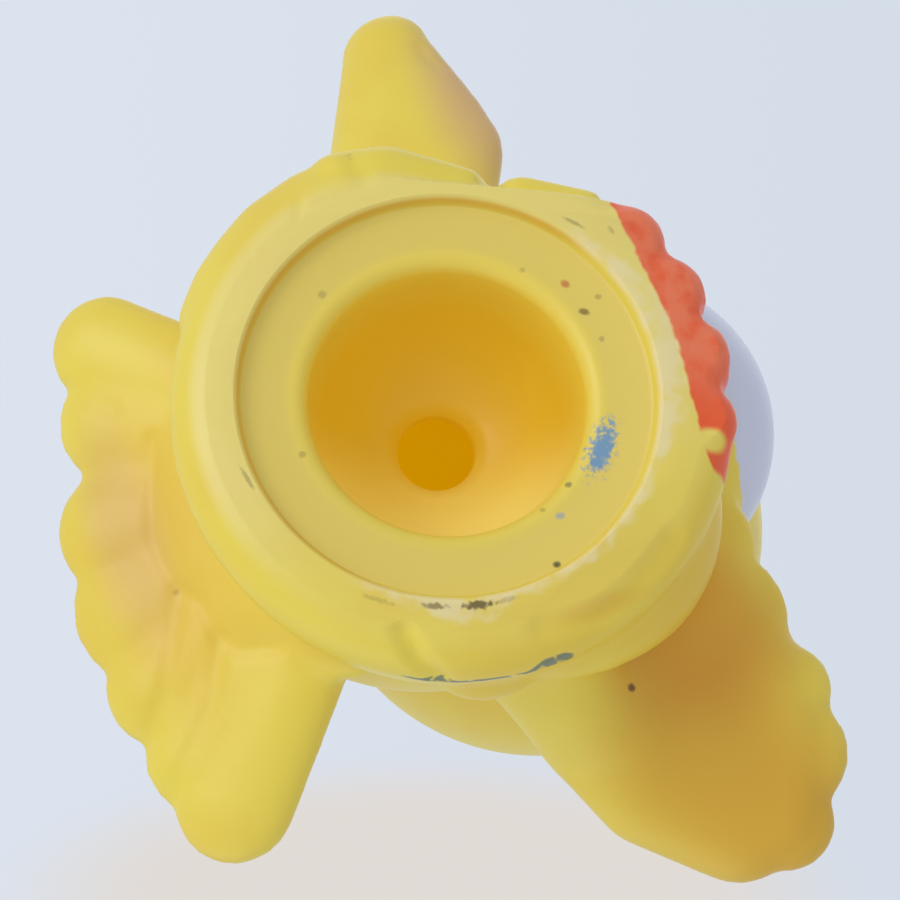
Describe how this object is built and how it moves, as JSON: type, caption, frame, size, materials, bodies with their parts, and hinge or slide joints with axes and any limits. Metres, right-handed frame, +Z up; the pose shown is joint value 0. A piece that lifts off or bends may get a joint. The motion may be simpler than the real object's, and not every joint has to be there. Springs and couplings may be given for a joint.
{
  "type": "rubber hen",
  "caption": "Hollow squeezable rubber hen with spread wings and a fanned tail, standing on a round foot with a sunk cup and an air hole underneath",
  "frame": {"origin": "on the ground plane, midway between the ends of the hen's box", "axes": "the hen faces -Y, +Z is up, and its wings reach out along X"},
  "size_m": [0.1462, 0.112, 0.1129],
  "materials": {
    "rubber_hen": "satin yellow rubber with worn paint"
  },
  "bodies": {
    "root": {"rubber_hen": "rubber_hen"}
  },
  "joints": []
}
